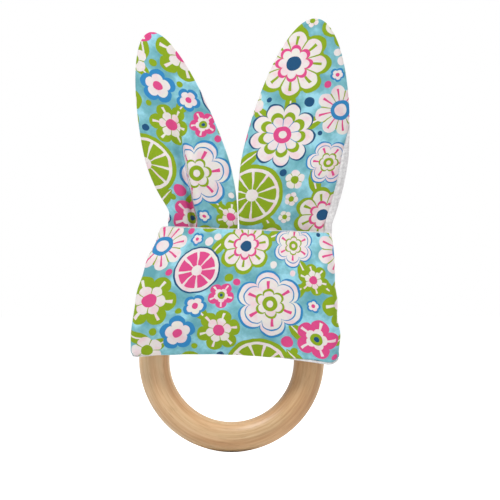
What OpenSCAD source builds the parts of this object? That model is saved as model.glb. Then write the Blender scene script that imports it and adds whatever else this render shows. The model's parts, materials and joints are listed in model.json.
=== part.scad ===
// Wooden teething ring with a doubled cloth strip hitched on its top bar.
// The ring stands upright: its axis is Y, the printed front faces -Y and the ears rise along +Z.
// The origin is the centre of the ring.

/* [Ring] */
// Outside diameter of the wooden ring
ring_od = 70; // [60:1:84]
// Thickness of the ring's round bar
bar_d = 11.5; // [9:0.5:14]

/* [Cloth] */
// Thickness of the printed cotton ply with its seam allowance
print_t = 0.8; // [0.5:0.1:1.2]
// Thickness of the terry ply
terry_t = 1.8; // [1.2:0.1:2.4]
// Gap between the two plies
ply_gap = 0.1; // [0.05:0.01:0.2]
// Room for the ring to turn inside the cloth loops
run_gap = 0.45; // [0.4:0.05:0.7]
// Room between stretches of cloth that lie on each other
lay_gap = 0.3; // [0.25:0.05:0.6]

/* [Band] */
// Height of the band's left side, from bottom edge to top edge
band_h = 49.2; // [40:0.1:60]
// How far the band's top edge stands above the ring
band_rise = 15.4; // [12:0.1:22]
// How much lower the top edge is at its right end
top_fall = 2.1; // [0:0.1:6]
// How much lower the bottom edge is at its right end
bottom_fall = 3.2; // [0:0.1:8]
// How far the bottom edge arches up between its ends
bottom_arch = 2.4; // [0:0.1:5]
// Reach of the left fold from the centre, at the top edge
left_top = 26.5; // [22:0.5:32]
// Reach of the left fold from the centre, at the bottom edge
left_bottom = 38.4; // [32:0.1:46]
// How far the left fold bows out between its ends
left_bow = 2.6; // [0:0.1:5]
// Reach of the right fold from the centre, at the top edge
right_top = 38; // [34:0.5:44]
// Reach of the right fold from the centre, at the bottom edge
right_bottom = 41; // [36:0.5:47]
// Room left inside a fold, between its middle and the terry
fold_room = 0.55; // [0.4:0.05:1.6]
// Length of cloth that turns in behind each fold
return_len = 15; // [10:0.5:18]
// Height that the returned cloth is gathered to at its inner end
gather_h = 26; // [20:1:36]
// How far the band's inner ends are gathered below the middle of the bar
gather_drop = 4; // [0:0.5:8]
// How far the top edge leans back towards the ears
band_lean = 5.5; // [3:0.5:7]
// Room left between the band's lower corners and the ring
hang_gap = 1; // [0.6:0.1:3]
// How far the band swells forward between its folds
band_swell = 1.2; // [0:0.1:3]

/* [Legs] */
// Place of the left leg's outer edge, degrees round the ring
left_leg_outer = 140; // [128:1:150]
// Place of the right leg's outer edge, degrees round the ring
right_leg_outer = 32; // [25:1:50]
// Half the angle left between the two legs at the top of the ring
leg_part = 3; // [2:0.5:6]
// Depth of the gathers where a leg grips the bar
leg_gather = 0.7; // [0:0.1:1.2]

/* [Ears] */
// Distance from the centre to the line where the two ears meet
ear_meet = 2.4; // [-2:0.1:6]
// Space between the two ears where they come closest
ear_space = 0.45; // [0.4:0.05:2]
// Width of the left ear at its base
left_base_w = 26.2; // [22:0.1:32]
// Width of the left ear where it is widest
left_max_w = 31.6; // [28:0.1:39]
// Length of the left ear above its bend
left_len = 70.5; // [55:0.5:85]
// Sideways lean of the left ear's tip
left_shift = -19.3; // [-26:0.1:-8]
// Width of the right ear at its base
right_base_w = 34.9; // [28:0.1:42]
// Width of the right ear where it is widest
right_max_w = 40.4; // [34:0.1:49]
// Length of the right ear above its bend
right_len = 78; // [62:0.5:94]
// Sideways lean of the right ear's tip
right_shift = 11.2; // [2:0.1:20]
// Forward swell of an ear along its middle
ear_crown = 2.2; // [0:0.1:4]
// Backward curl of an ear's tip
ear_curl = 3; // [0:0.5:6]
// Height of the pleat's step at the base of the left ear
pleat_step = 2.8; // [1:0.1:3.5]
// Length of the pleat up the left ear
pleat_len = 40; // [25:1:50]

/* [Hidden] */

wood = "burlywood";
cotton = "mediumturquoise";
terry = "whitesmoke";

// The surface between the plies is the reference: print lies on its front, terry on its back.
print_face = ply_gap / 2 + print_t;
terry_face = ply_gap / 2 + terry_t;
fold_r = terry_face + fold_room;

// Ring and the loops round its bar. In a loop, angle 0 is outermost, -90 is in front,
// -180 is inside the eye and -270 is behind.
ring_r = (ring_od - bar_d) / 2;
loop_r = bar_d / 2 + run_gap + print_face;
loop_out = loop_r + terry_face + leg_gather;
loop_start = -60;
loop_end = -270;

// Band: its returned cloth lies in front of the loops, its face one fold further forward.
// Above the ring it leans back to the ears, and below the loops it hangs back to the ring.
band_top = ring_od / 2 + band_rise;
return_y = -(loop_out + lay_gap + print_face);
face_y = return_y - 2 * fold_r;
lean_from = ring_r + bar_d / 4;
hang_from = ring_r * min(sin(left_leg_outer), sin(right_leg_outer));
hang_to = band_top - band_h;
band_hang = loop_out + lay_gap - bar_d / 2 - hang_gap;
// Share of the gathering that a return has reached at its inner end
gather_share = 0.85;
gather_z = ring_r - gather_drop;

// Outline of an ear: share of its length where it is widest, fullness of its tip, blunt end
wide_at = 0.3;
tip_power = 1.5;
tip_half = 0.9;
// Steps in which an ear's outline is searched for its bulge
bulge_steps = 100;

// Ears bend on a line just above the band's top edge
mid_shift = (terry_face - print_face) / 2;
half_t = (terry_face + print_face) / 2;
ear_y = return_y + print_face + band_lean + lay_gap + print_face + pleat_step / 2;
hinge_y = ear_y + mid_shift;
left_bend_r = half_t + pleat_step / 2;
right_bend_r = half_t;
left_hinge_z = band_top + left_bend_r + lay_gap;
right_hinge_z = band_edge_z(ear_share(ear_meet)) + right_bend_r + lay_gap;
left_base_x = ear_meet - ear_space / 2 - left_base_w / 2
    - ear_bulge(left_base_w, left_max_w, left_shift);
right_base_x = ear_meet + ear_space / 2 + right_base_w / 2
    + ear_bulge(right_base_w, right_max_w, right_shift);

// Share of the left ear's width left of the pleat, at the base and where the pleat ends
pleat_base = 0.415;
pleat_end = 0.54;
// Width of the pleat's step as a share of the ear's width
pleat_run = 0.16;

// Steps along and across each sheet
ear_rows = 14;
left_ear_cols = 14;
right_ear_cols = 12;
leg_rows = 16;
loop_rows = 10;
leg_cols = 12;
gathers = 3;
return_rows = 3;
fold_rows = 5;
face_rows = 10;
band_cols = 7;
band_rows = 2 * return_rows + 2 * fold_rows + face_rows;
// How straight a leg leaves the bar and reaches its ear
tail_pull = 9;

function mix(a, b, t) = a + (b - a) * t;
function clamp(t) = min(1, max(0, t));
function ease(t) = clamp(t) * clamp(t) * (3 - 2 * clamp(t));

// Direction square to a surface f(along, across), found from neighbouring points
function square_to(f, a, b, e = 0.004) =
    let (n = cross(f(a + e, b) - f(a - e, b), f(a, b + e) - f(a, b - e)))
    n / norm(n);

// Grid of points at distance d from a surface, raised by its own folds
function lifted(f, folds, d, rows, cols) = [
    for (i = [0:rows]) [
        for (j = [0:cols])
            let (a = i / rows, b = j / cols)
            f(a, b) + (d + folds(a, b)) * square_to(f, a, b)
    ]
];

// Closed sheet of cloth between a back grid and a front grid
module sheet(back, front) {
    rows = len(back) - 1;
    cols = len(back[0]) - 1;
    wide = cols + 1;
    all = wide * (rows + 1);
    faces = [
        for (i = [0:rows - 1]) for (j = [0:cols - 1])
            let (a = i * wide + j, b = a + wide, c = b + 1, d = a + 1)
            each [[a, d, c], [a, c, b], [all + a, all + b, all + c], [all + a, all + c, all + d]],
        for (i = [0:rows - 1])
            let (a = i * wide, b = a + wide, c = a + cols, d = b + cols)
            each [[a, b, all + b], [a, all + b, all + a], [c, all + c, all + d], [c, all + d, d]],
        for (j = [0:cols - 1])
            let (a = j, b = j + 1, c = rows * wide + j, d = c + 1)
            each [[a, all + b, b], [a, all + a, all + b], [c, d, all + d], [c, all + d, all + c]]
    ];
    points = concat([for (row = back) each row], [for (row = front) each row]);
    polyhedron(points = points, faces = faces);
}

// Band outline: share u runs from the left fold to the right fold, share v from top to bottom
function ear_share(x) = (x + left_top) / (right_top + left_top);
function band_edge_z(u) = band_top - top_fall * u;
function band_low_z(u) = band_top - band_h - bottom_fall * u + bottom_arch * 4 * u * (1 - u);
function band_z(u, v) = mix(band_edge_z(u), band_low_z(u), v);
function left_x(v) = -mix(left_top, left_bottom, v) - left_bow * sin(180 * v);
function right_x(v) = mix(right_top, right_bottom, v);
function lean_at(z) =
    band_lean * ease((z - lean_from) / (band_top - lean_from))
    + band_hang * ease((hang_from - z) / (hang_from - hang_to));
function return_z(z, v, q) = mix(z, gather_z + (0.5 - v) * gather_h, gather_share * ease(q));

// Point on a return: side is -1 on the left, q runs from the fold to the inner end
function band_return(side, q, v) =
    let (
        edge = side < 0 ? left_x(v) : right_x(v),
        x = edge - side * (print_face + fold_r + q * return_len),
        z = return_z(band_z(side < 0 ? 0 : 1, v), v, q)
    )
    [x, return_y + lean_at(z), z];

// Point on a fold: angle 0 is outermost, 90 towards the returned cloth
function band_fold(side, angle, v) =
    let (
        edge = side < 0 ? left_x(v) : right_x(v),
        x = edge - side * (print_face + fold_r - fold_r * cos(angle)),
        z = band_z(side < 0 ? 0 : 1, v)
    )
    [x, face_y + fold_r + fold_r * sin(angle) + lean_at(z), z];

// Point on the band's face
function band_face(u, v) =
    let (
        inset = print_face + fold_r,
        x = mix(left_x(v) + inset, right_x(v) - inset, u),
        z = band_z(u, v)
    )
    [x, face_y - band_swell * sin(180 * clamp(u)) * sin(180 * clamp(v)) + lean_at(z), z];

// Whole band, along from the left return's inner end to the right one's
function band_at(a, v) =
    let (
        m = a * band_rows,
        m1 = return_rows,
        m2 = m1 + fold_rows,
        m3 = m2 + face_rows,
        m4 = m3 + fold_rows
    )
    m < m1 ? band_return(-1, 1 - m / return_rows, v)
    : m < m2 ? band_fold(-1, 90 - 180 * (m - m1) / fold_rows, v)
    : m < m3 ? band_face((m - m2) / face_rows, v)
    : m < m4 ? band_fold(1, -90 + 180 * (m - m3) / fold_rows, v)
    : band_return(1, (m - m4) / return_rows, v);

flat = function (a, b) 0;
band_surface = function (a, v) band_at(a, v);

// Ear outline and surface: a runs from base to tip, b from left edge to right edge
function ear_half(t, base_w, max_w) =
    t < wide_at
        ? (max_w - (max_w - base_w) * pow(1 - t / wide_at, 2)) / 2
        : max(tip_half, max_w / 2 * sqrt(max(0, 1 - pow((t - wide_at) / (1 - wide_at), tip_power))));
// How far an ear that leans away still bulges past its base, towards the other ear
function ear_bulge(base_w, max_w, shift) = max([
    for (i = [0:bulge_steps])
        let (t = i / bulge_steps)
        ear_half(t, base_w, max_w) - base_w / 2 - abs(shift) * t
]);
function ear_point(t, b, base_x, base_z, base_w, max_w, length, shift) = [
    base_x + shift * t + (2 * b - 1) * ear_half(t, base_w, max_w),
    ear_y + ear_curl * t * t - ear_crown * 4 * b * (1 - b) * ease(t / wide_at) * (1 - t * t),
    base_z + length * t
];
// Rows lie closer together towards the tip, where the outline turns fastest
function ear_reach(a) = sin(90 * a);

// Step of the left ear's pleat: the right part lies over the left part
function pleat_side(t, b) =
    let (line = mix(pleat_base, pleat_end, clamp(t * left_len / pleat_len)))
    0.5 - ease((b - line) / pleat_run + 0.5);
function pleat_at(t, b) = pleat_step * pleat_side(t, b) * (1 - ease(t * left_len / pleat_len));

function left_ear_point(a, b) =
    let (p = ear_point(
        ear_reach(a), b, left_base_x, left_hinge_z, left_base_w, left_max_w, left_len, left_shift))
    p + [0, pleat_at(ear_reach(a), b), 0];
function right_ear_point(a, b) = ear_point(
    ear_reach(a), b, right_base_x, right_hinge_z, right_base_w, right_max_w, right_len, right_shift);

// Grid of one face of an ear. Its base row is rounded about the bend line.
function ear_grid(f, d, cols, hinge_z, bend_r) = [
    for (i = [0:ear_rows]) [
        for (j = [0:cols])
            let (p = f(i / ear_rows, j / cols) + [0, d, 0])
            i > 0 ? p : [p.x, p.y, hinge_z - sqrt(max(0, pow(bend_r, 2) - pow(p.y - hinge_y, 2)))]
    ]
];
left_ear = function (a, b) left_ear_point(a, b);
right_ear = function (a, b) right_ear_point(a, b);

// Leg: comes down in front of the bar, passes under it and rises behind it to the ear's base
function round_bar(phi, theta) =
    let (out = [cos(phi), 0, sin(phi)], back = [0, 1, 0])
    ring_r * out + loop_r * (cos(theta) * out + sin(theta) * back);
function curve(p0, p1, p2, p3, t) =
    pow(1 - t, 3) * p0 + 3 * pow(1 - t, 2) * t * p1 + 3 * (1 - t) * pow(t, 2) * p2 + pow(t, 3) * p3;
function leg_tail(phi, top, t) =
    let (p0 = round_bar(phi, loop_end), p1 = p0 + tail_pull * [cos(phi), 0, sin(phi)])
    curve(p0, p1, top - [0, 0, tail_pull], top, t);
function leg_point(a, phi, top) =
    let (m = a * leg_rows)
    m < loop_rows
        ? round_bar(phi, mix(loop_start, loop_end, m / loop_rows))
        : leg_tail(phi, top, (m - loop_rows) / (leg_rows - loop_rows));
function tail_share(a) = clamp((a * leg_rows - loop_rows) / (leg_rows - loop_rows));

left_leg = function (a, b) leg_point(
    a, mix(left_leg_outer, 90 + leg_part, b),
    [left_base_x + (b - 0.5) * left_base_w, ear_y, left_hinge_z - left_bend_r - lay_gap]);
right_leg = function (a, b) leg_point(
    a, mix(90 - leg_part, right_leg_outer, b),
    [right_base_x + (b - 0.5) * right_base_w, ear_y, right_hinge_z - right_bend_r - lay_gap]);

// Gathers fade out towards the ear, and the left ear's pleat fades in
function gather_at(a, b) = leg_gather * (1 - cos(360 * gathers * b)) / 2 * (1 - ease(2 * tail_share(a)));
left_leg_folds = function (a, b) gather_at(a, b) + pleat_at(0, b) * ease(tail_share(a));
right_leg_folds = function (a, b) gather_at(a, b);

module print_ply(f, folds, rows, cols) {
    sheet(lifted(f, folds, -ply_gap / 2, rows, cols), lifted(f, folds, -print_face, rows, cols));
}
module terry_ply(f, folds, rows, cols) {
    sheet(lifted(f, folds, terry_face, rows, cols), lifted(f, folds, ply_gap / 2, rows, cols));
}
module ear_ply(f, back, front, cols, hinge_z, bend_r) {
    sheet(ear_grid(f, back, cols, hinge_z, bend_r), ear_grid(f, front, cols, hinge_z, bend_r));
}

module wooden_ring() {
    color(wood)
        rotate([90, 0, 0])
            rotate_extrude($fn = 128)
                translate([ring_r, 0])
                    circle(d = bar_d, $fn = 64);
}
module band_print() {
    color(cotton) print_ply(band_surface, flat, band_rows, band_cols);
}
module band_terry() {
    color(terry) terry_ply(band_surface, flat, band_rows, band_cols);
}
module left_leg_print() {
    color(cotton) print_ply(left_leg, left_leg_folds, leg_rows, leg_cols);
}
module left_leg_terry() {
    color(terry) terry_ply(left_leg, left_leg_folds, leg_rows, leg_cols);
}
module right_leg_print() {
    color(cotton) print_ply(right_leg, right_leg_folds, leg_rows, leg_cols);
}
module right_leg_terry() {
    color(terry) terry_ply(right_leg, right_leg_folds, leg_rows, leg_cols);
}
module left_ear_print() {
    color(cotton) ear_ply(left_ear, -ply_gap / 2, -print_face, left_ear_cols, left_hinge_z, left_bend_r);
}
module left_ear_terry() {
    color(terry) ear_ply(left_ear, terry_face, ply_gap / 2, left_ear_cols, left_hinge_z, left_bend_r);
}
module right_ear_print() {
    color(cotton) ear_ply(right_ear, -ply_gap / 2, -print_face, right_ear_cols, right_hinge_z, right_bend_r);
}
module right_ear_terry() {
    color(terry) ear_ply(right_ear, terry_face, ply_gap / 2, right_ear_cols, right_hinge_z, right_bend_r);
}

wooden_ring();
band_print();
band_terry();
left_leg_print();
left_leg_terry();
right_leg_print();
right_leg_terry();
left_ear_print();
left_ear_terry();
right_ear_print();
right_ear_terry();
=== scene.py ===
# %% [markdown]
# # A teething ring with cloth ears
# The object is a turned beech ring with one doubled strip of cloth hitched on it. The strip is
# printed cotton on one side and white terry on the other. Its middle is the wide band in front of
# the ring, and its two ends stand up behind the band as a pair of ears.
# The imported model is the fixed frame: every piece below is built on its sizes, and the band rides on
# its wrap.

# %% Load the imported model
import json
import math
from types import SimpleNamespace

import bpy
import numpy as np
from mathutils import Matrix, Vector


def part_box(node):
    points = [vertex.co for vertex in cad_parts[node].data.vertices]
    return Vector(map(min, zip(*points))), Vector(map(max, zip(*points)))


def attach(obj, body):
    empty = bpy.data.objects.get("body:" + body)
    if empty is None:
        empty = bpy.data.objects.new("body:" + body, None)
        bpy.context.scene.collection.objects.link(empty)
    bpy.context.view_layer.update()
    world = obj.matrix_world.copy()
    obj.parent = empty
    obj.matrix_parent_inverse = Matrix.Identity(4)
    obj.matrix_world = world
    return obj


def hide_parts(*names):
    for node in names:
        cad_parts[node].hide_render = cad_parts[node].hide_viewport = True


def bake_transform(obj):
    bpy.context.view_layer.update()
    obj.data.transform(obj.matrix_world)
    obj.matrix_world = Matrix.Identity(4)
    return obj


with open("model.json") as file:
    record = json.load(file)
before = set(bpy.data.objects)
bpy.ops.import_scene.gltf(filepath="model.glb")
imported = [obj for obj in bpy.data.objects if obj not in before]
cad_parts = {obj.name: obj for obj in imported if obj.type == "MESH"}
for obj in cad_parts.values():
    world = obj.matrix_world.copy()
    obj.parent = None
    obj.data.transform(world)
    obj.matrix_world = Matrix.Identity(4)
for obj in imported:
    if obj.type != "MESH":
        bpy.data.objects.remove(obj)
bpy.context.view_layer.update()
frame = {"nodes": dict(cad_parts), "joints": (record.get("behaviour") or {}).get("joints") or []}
scene = bpy.context.scene
scene.view_settings.view_transform = "Standard"
print("packed nodes:", sorted(frame["nodes"]))

# %% [markdown]
# ## Sizes
# The ring's sizes and the lines that the ears bend on come from the frame. The cloth's sizes are the
# ones that its solids were built with. All lengths are in millimetres until a mesh is made.

# %% Sizes from the frame and of the cloth
MM = 0.001
ring_low, ring_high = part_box("wooden_ring")
BAR = (ring_high.y - ring_low.y) / MM
RING_R = ((ring_high.x - ring_low.x) / MM - BAR) / 2
HINGE = {joint["child"]: [c / MM for c in joint["pos_m"]] for joint in frame["joints"]}

# Thickness of the plies, gaps between plies, to the bar and between layers, and height of the gathers
COTTON_T = 0.8
TERRY_T = 1.8
PLY_GAP = 0.1
RUN_GAP = 0.45
LAY_GAP = 0.3
GATHER = 0.7
# Distance of each outer face from the surface between the plies
COTTON_FACE = PLY_GAP / 2 + COTTON_T
TERRY_FACE = PLY_GAP / 2 + TERRY_T
# Radius round the bar of that surface, and of the outside of the gathers
LOOP_R = BAR / 2 + RUN_GAP + COTTON_FACE
LOOP_OUT = LOOP_R + TERRY_FACE + GATHER
print(f"ring bar {BAR:.2f} mm on a radius of {RING_R:.2f} mm")
print(f"doubled cloth {COTTON_FACE + TERRY_FACE:.2f} mm thick")

# %% [markdown]
# ## Helpers for cloth
# A ply of cloth is a grid of points with a second grid a cloth's thickness away, closed round its
# edges. Modelling it as a surface with a Solidify modifier would also work, but the two faces of a
# ply differ here: one is smooth cotton or looped pile, the other is hidden against its partner.
# Each grid point also knows where it lay when the cloth was flat. That flat place becomes the UV map,
# in millimetres, so a print keeps its scale wherever the cloth goes.

# %% Smooth steps, swells and the direction square to a grid
# Waves in a swell, and the shortest and longest of them as shares of its size
SWELL_WAVES = 7
SWELL_LENGTHS = (0.7, 1.5)


def ease(t):
    """Smooth step from 0 to 1."""
    t = np.clip(t, 0, 1)
    return t * t * (3 - 2 * t)


def mix(a, b, t):
    return a + (b - a) * t


def swell(x, y, size, seed):
    """Soft random heights of about -1 to 1, whose humps lie size mm apart."""
    draw = np.random.default_rng(seed)
    total = 0
    for _ in range(SWELL_WAVES):
        turn, start = draw.uniform(0, 2 * np.pi, 2)
        length = size * draw.uniform(*SWELL_LENGTHS)
        total = total + np.sin((x * np.cos(turn) + y * np.sin(turn)) * 2 * np.pi / length + start)
    return total / math.sqrt(SWELL_WAVES)


def square_to(points):
    """Unit direction square to a grid, from the cotton side to the terry side."""
    along = np.gradient(points, axis=0)
    across = np.gradient(points, axis=1)
    normal = np.cross(along, across)
    return normal / np.linalg.norm(normal, axis=2, keepdims=True)


# %% One closed ply from two grids


def put_in_scene(name, data):
    made = bpy.data.objects.new(name, data)
    scene.collection.objects.link(made)
    return made


def make_ply(name, front, back, flat):
    """Mesh between two grids of points in mm, with the flat places of the points as its UV map."""
    rows, cols = front.shape[:2]
    count = rows * cols
    index = np.arange(count).reshape(rows, cols)

    def quads(i):
        return np.stack([i[:-1, :-1], i[1:, :-1], i[1:, 1:], i[:-1, 1:]], axis=-1).reshape(-1, 4)

    edge = np.concatenate([index[0, :-1], index[:-1, -1], index[-1, :0:-1], index[:0:-1, 0]])
    after = np.roll(edge, -1)
    rim = np.stack([edge, after, after + count, edge + count], axis=-1)
    faces = np.concatenate([quads(index), quads(index)[:, ::-1] + count, rim])
    points = np.concatenate([front.reshape(-1, 3), back.reshape(-1, 3)]) * MM
    mesh = bpy.data.meshes.new(name)
    mesh.from_pydata(points.tolist(), [], faces.tolist())
    place = np.concatenate([flat.reshape(-1, 2)] * 2)[faces.reshape(-1)]
    mesh.uv_layers.new(name="flat_cloth").data.foreach_set("uv", place.astype(np.float32).ravel())
    mesh.polygons.foreach_set("use_smooth", np.ones(len(faces), bool))
    mesh.update()
    print(f"{name}: {len(points)} points, {len(faces)} faces")
    return put_in_scene(name, mesh)


# %% [markdown]
# ## The edges and the pile
# The two plies are sewn together face to face and then turned, so the seam lies inside and both plies
# round over towards it. Near an edge each ply's outer face therefore follows a quarter circle down to
# the seam. Where the cloth has rolled a little, the terry comes round to the front as a soft white rim.
# Terry is woven with loops: one round-topped bump per loop, a little out of line, is real geometry
# here, because it also roughens the white outline. Real loops stand about 0.8 mm apart.
# They are drawn 1.3 mm apart so that they still show in the render.

# %% Rounded edges
# Thickness of a ply at the seam, and how far one ply's edge is tucked behind the other's
SEAM_T = 0.12
TUCK = 0.4


def rounded(from_edge, radius):
    """Share of the full thickness at a distance from the seam: a quarter circle."""
    gone = 1 - np.clip(from_edge / radius, 0, 1)
    return np.sqrt(1 - gone ** 2)


def tucked(rim):
    """How far the terry's edge is tucked in: not at all where it shows as a rim."""
    return TUCK * (1 - np.clip(rim / TUCK, 0, 1))


# %% Terry loops
LOOP_PITCH = 1.3
LOOP_H = 0.6
# How far a loop strays from its place and how broad it is, as shares of the pitch
LOOP_STRAY, LOOP_ROUND = 0.55, 0.5
# Uneven factors that turn a loop's column and row into a fraction with no pattern in it
MIX_U, MIX_V = (127.1, 311.7), (269.5, 183.3)
MIX_UP = 43758.5


def out_of_line(col, row, factors, seed):
    """A fraction from -0.5 to 0.5 that is always the same for one loop."""
    return np.sin(col * factors[0] + row * factors[1] + seed) * MIX_UP % 1 - 0.5


def terry_loops(u, v, seed):
    """Height of the looped pile, 0 to 1, at flat places u, v."""
    nearest = np.full(np.shape(u), np.inf)
    col, row = np.floor(u / LOOP_PITCH), np.floor(v / LOOP_PITCH)
    for step in [(i, j) for i in (-1, 0, 1) for j in (-1, 0, 1)]:
        c, r = col + step[0], row + step[1]
        off_u = u / LOOP_PITCH - c - 0.5 - LOOP_STRAY * out_of_line(c, r, MIX_U, seed)
        off_v = v / LOOP_PITCH - r - 0.5 - LOOP_STRAY * out_of_line(c, r, MIX_V, seed)
        nearest = np.minimum(nearest, np.hypot(off_u, off_v))
    return np.exp(-(nearest / LOOP_ROUND) ** 2)


# %% The two kinds of ply
COTTON_ROUND, TERRY_ROUND = 1.5, 2.2
# A rim's height as a share of its width, the width at which it stops growing, how much of its height
# is smooth, and a width that counts as none
RIM_SWELL = 0.5
RIM_FULL = 1.6
RIM_SMOOTH = 0.6
NO_RIM = 0.01


def cotton_ply(name, cloth):
    """Cotton in front of a surface, rounded over at the seam."""
    share = rounded(cloth.from_edge, COTTON_ROUND)[..., None]
    front = cloth.points - cloth.normal * (SEAM_T + (COTTON_FACE - SEAM_T) * share)
    back = cloth.points - cloth.normal * (PLY_GAP / 2) * share
    return make_ply(name, front, back, cloth.flat)


def terry_ply(name, cloth, seed):
    """Terry behind a surface, with loops in its thickness and a round rim where it shows."""
    share = rounded(cloth.from_edge, TERRY_ROUND)[..., None]
    loops = terry_loops(cloth.flat[..., 0], cloth.flat[..., 1], seed)[..., None]
    pile = TERRY_FACE - SEAM_T - LOOP_H * (1 - loops)
    back = cloth.points + cloth.normal * (SEAM_T + pile * share)
    across = np.clip(cloth.from_edge / np.maximum(cloth.rim, NO_RIM), 0, 1)
    roll = RIM_SWELL * np.minimum(cloth.rim, RIM_FULL) * np.sqrt(1 - (2 * across - 1) ** 2)
    roll = roll[..., None] * mix(RIM_SMOOTH, 1, loops)
    front = cloth.points + cloth.normal * (PLY_GAP / 2 * share - roll)
    ply = make_ply(name, front, back, cloth.flat)
    height = ply.data.attributes.new("loop_height", "FLOAT", "POINT")
    height.data.foreach_set("value", np.tile(loops.ravel(), 2).astype(np.float32))
    return ply


# %% [markdown]
# ## The band
# The strip's middle lies across the front of the ring. At each side it turns back in a soft fold and
# runs in again behind itself, gathered towards the hitch. A cloth simulation could drape it, but the
# folds of a tied strip are known and have to meet the other pieces, so they are written as formulas.
# The band leans back to the ears above the ring and hangs back to the ring at its lower corners.

# %% Outline of the band
# Height of the band, its top edge above the ring, and how far its edges fall from left to right
BAND_H = 49.2
BAND_ABOVE = 15.4
BAND_TOP = RING_R + BAR / 2 + BAND_ABOVE
TOP_FALL, BOTTOM_FALL = 2.1, 3.2
# How far the lower edge arches up between its corners
BOTTOM_ARCH = 2.4
# Distance of each side from the middle at its top and bottom, and how far the left one bows out
LEFT_TOP, LEFT_BOTTOM, LEFT_BOW = 26.5, 38.4, 2.6
RIGHT_TOP, RIGHT_BOTTOM = 38, 41
# Width of the soft lower corners, left and right, and their height as a share of it
CORNERS = (1.8, 5.0)
CORNER_SHARE = 0.5


def left_side(v):
    return -mix(LEFT_TOP, LEFT_BOTTOM, v) - LEFT_BOW * np.sin(np.pi * v)


def right_side(v):
    return mix(RIGHT_TOP, RIGHT_BOTTOM, v)


def corner_lift(inside, radius):
    """How much higher the lower edge is, at a distance inside a rounded corner."""
    left = np.clip(radius - inside, 0, radius)
    return CORNER_SHARE * (radius - np.sqrt(radius ** 2 - left ** 2))


def band_height(x, u, v, trim):
    """Height of a point: u runs from left to right, v from top to bottom, trim shortens both ends."""
    top = BAND_TOP - TOP_FALL * u - trim[0]
    low = BAND_TOP - BAND_H - BOTTOM_FALL * u + BOTTOM_ARCH * 4 * u * (1 - u)
    low = low + corner_lift(x - left_side(v), CORNERS[0]) + corner_lift(right_side(v) - x, CORNERS[1])
    return mix(top, low + trim[1], v)


# %% Depth of the band
# Radius of the side folds, with room for the cloth that is turned in
FOLD_SLACK = 0.55
FOLD_R = TERRY_FACE + FOLD_SLACK
# The cloth turned in behind a fold: its length, the height and middle that it is gathered towards,
# and how nearly it gets there
RETURN_LEN = 15
GATHER_H = 26
GATHER_BELOW = 4
GATHER_Z = RING_R - GATHER_BELOW
GATHER_SHARE = 0.85
RETURN_Y = -(LOOP_OUT + LAY_GAP + COTTON_FACE)
FACE_Y = RETURN_Y - 2 * FOLD_R
# How far the face swells forward in its middle and leans back at its top
BAND_SWELL = 1.2
BAND_LEAN = 5.5
LEAN_FROM = RING_R + BAR / 4
# Where up the ring it starts to hang back, in degrees, and what it stays clear of the bar by
HANG_ANGLE = 32
HANG_CLEAR = 1
HANG_FROM = RING_R * math.sin(math.radians(HANG_ANGLE))
HANG_TO = BAND_TOP - BAND_H
BAND_HANG = LOOP_OUT + LAY_GAP - BAR / 2 - HANG_CLEAR


def lean(z):
    """How far back the band lies at a height."""
    back_up = BAND_LEAN * ease((z - LEAN_FROM) / (BAND_TOP - LEAN_FROM))
    return back_up + BAND_HANG * ease((HANG_FROM - z) / (HANG_FROM - HANG_TO))


print(f"band from z {HANG_TO:.1f} to {BAND_TOP:.1f} mm, its face at y {FACE_Y:.1f} mm")

# %% The stretches of the band: turned cloth, fold and face


def band_side(side, q, v, trim):
    """Cloth turned in behind a fold: q runs from the fold to the inner end."""
    edge = left_side(v) if side < 0 else right_side(v)
    x = edge - side * (COTTON_FACE + FOLD_R + q * RETURN_LEN)
    z = band_height(edge - side * FOLD_R, 0 if side < 0 else 1, v, trim)
    z = mix(z, GATHER_Z + (0.5 - v) * GATHER_H, GATHER_SHARE * ease(q))
    return np.stack([x, RETURN_Y + lean(z), z], axis=-1)


def band_fold(side, angle, v, trim):
    """A fold: angle 0 is outermost, a right angle is where the turned cloth starts."""
    edge = left_side(v) if side < 0 else right_side(v)
    inside = FOLD_R * (1 - np.cos(angle))
    x = edge - side * (COTTON_FACE + inside)
    z = band_height(edge - side * inside, 0 if side < 0 else 1, v, trim)
    return np.stack([x, FACE_Y + FOLD_R * (1 + np.sin(angle)) + lean(z), z], axis=-1)


def band_face(u, v, trim):
    inset = COTTON_FACE + FOLD_R
    x = mix(left_side(v) + inset, right_side(v) - inset, u)
    z = band_height(mix(left_side(v) + FOLD_R, right_side(v) - FOLD_R, u), u, v, trim)
    y = FACE_Y - BAND_SWELL * np.sin(np.pi * u) * np.sin(np.pi * v) + lean(z)
    return np.stack([x, y, z], axis=-1)


# %% [markdown]
# Cloth that is held at its sides never lies quite flat. The hem puckers a little along its seam, short
# drag lines run in from the folds, and the whole face swells unevenly. They are moved in the mesh and
# not in a bump map, so that they also show in the outline and in the shade.

# %% Creases of the band
# For each kind: how high it stands, how far apart its humps lie and how far it reaches, in mm.
# Puckers are unevenly spaced, by a swell of their own, and drag lines are drawn out along the strip
PUCKER = SimpleNamespace(high=0.22, step=8.5, reach=4, uneven=2, uneven_size=30, seed=3)
DRAG = SimpleNamespace(high=0.28, size=11, reach=13, drawn=0.35, seed=5)
BULGE = SimpleNamespace(high=0.7, size=34, from_hem=8, from_fold=14, seed=8)
# Creases start this far behind the middle of a fold and come in over this length
CREASE_FROM, CREASE_IN = 4, 5


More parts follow.
